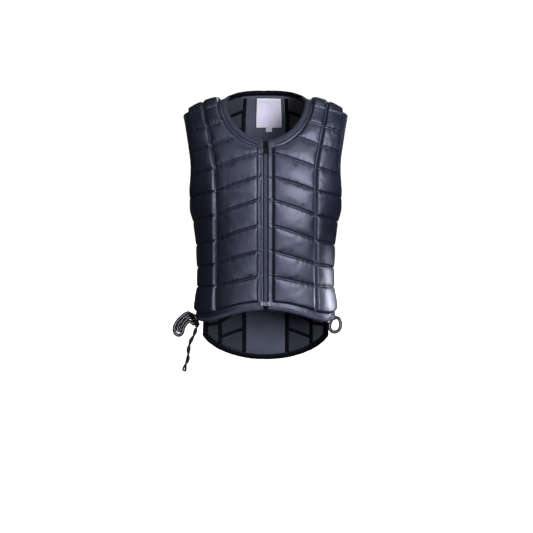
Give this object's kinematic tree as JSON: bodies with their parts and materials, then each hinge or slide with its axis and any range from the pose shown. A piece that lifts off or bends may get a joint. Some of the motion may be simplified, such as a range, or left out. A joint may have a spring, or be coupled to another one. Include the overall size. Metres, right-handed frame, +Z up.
{
  "type": "equestrian body protector",
  "caption": "Padded riding vest with chevron foam blocks, front zip, laced sides, rolled bindings and a longer rounded back.",
  "frame": {"origin": "on the shoulder line, midway between the two points where the neck meets the shoulders", "axes": "+X to the viewer's right when facing the front, +Y from the front to the back of the wearer, +Z up"},
  "size_m": [0.4004, 0.2186, 0.6529],
  "materials": {
    "nylon": "satin navy-black nylon over closed-cell foam",
    "binding_tape": "woven black binding tape",
    "zip_fabric": "woven zip tape with a nylon coil",
    "black_metal": "black enamelled metal, semi-gloss",
    "silver_metal": "bright nickel-plated metal",
    "label_cloth": "smooth pale satin label, blank",
    "lace_cord": "black braided cord"
  },
  "bodies": {
    "vest": {"front_panel_left": "nylon", "front_panel_right": "nylon", "back_panel": "nylon", "neck_binding": "binding_tape", "armhole_binding_left": "binding_tape", "armhole_binding_right": "binding_tape", "front_hem_binding_left": "binding_tape", "front_hem_binding_right": "binding_tape", "back_hem_binding": "binding_tape", "zip_tape_left": "zip_fabric", "zip_tape_right": "zip_fabric", "zip_chain": "zip_fabric", "zip_slider": "black_metal", "zip_bottom_box": "silver_metal", "neck_label": "label_cloth", "size_tab": "label_cloth", "lacing_tape_front_left": "binding_tape", "lacing_tape_front_right": "binding_tape", "lacing_tape_back_left": "binding_tape", "lacing_tape_back_right": "binding_tape", "side_lace_left": "lace_cord", "side_lace_right": "lace_cord", "lace_knot_left": "lace_cord", "lace_knot_right": "lace_cord", "lace_bow_left_outer": "lace_cord", "lace_bow_left_inner": "lace_cord", "lace_end_left": "lace_cord", "lace_bow_right": "lace_cord", "lace_end_right": "lace_cord"},
    "zip_pull": {"zip_pull": "black_metal"}
  },
  "joints": [
    {"name": "zip_pull_hinge", "type": "hinge", "parent": "vest", "child": "zip_pull", "pos_m": [0, -0.08784, -0.11269], "axis": [-1, 0, 0], "range_deg": [0, 165]}
  ]
}
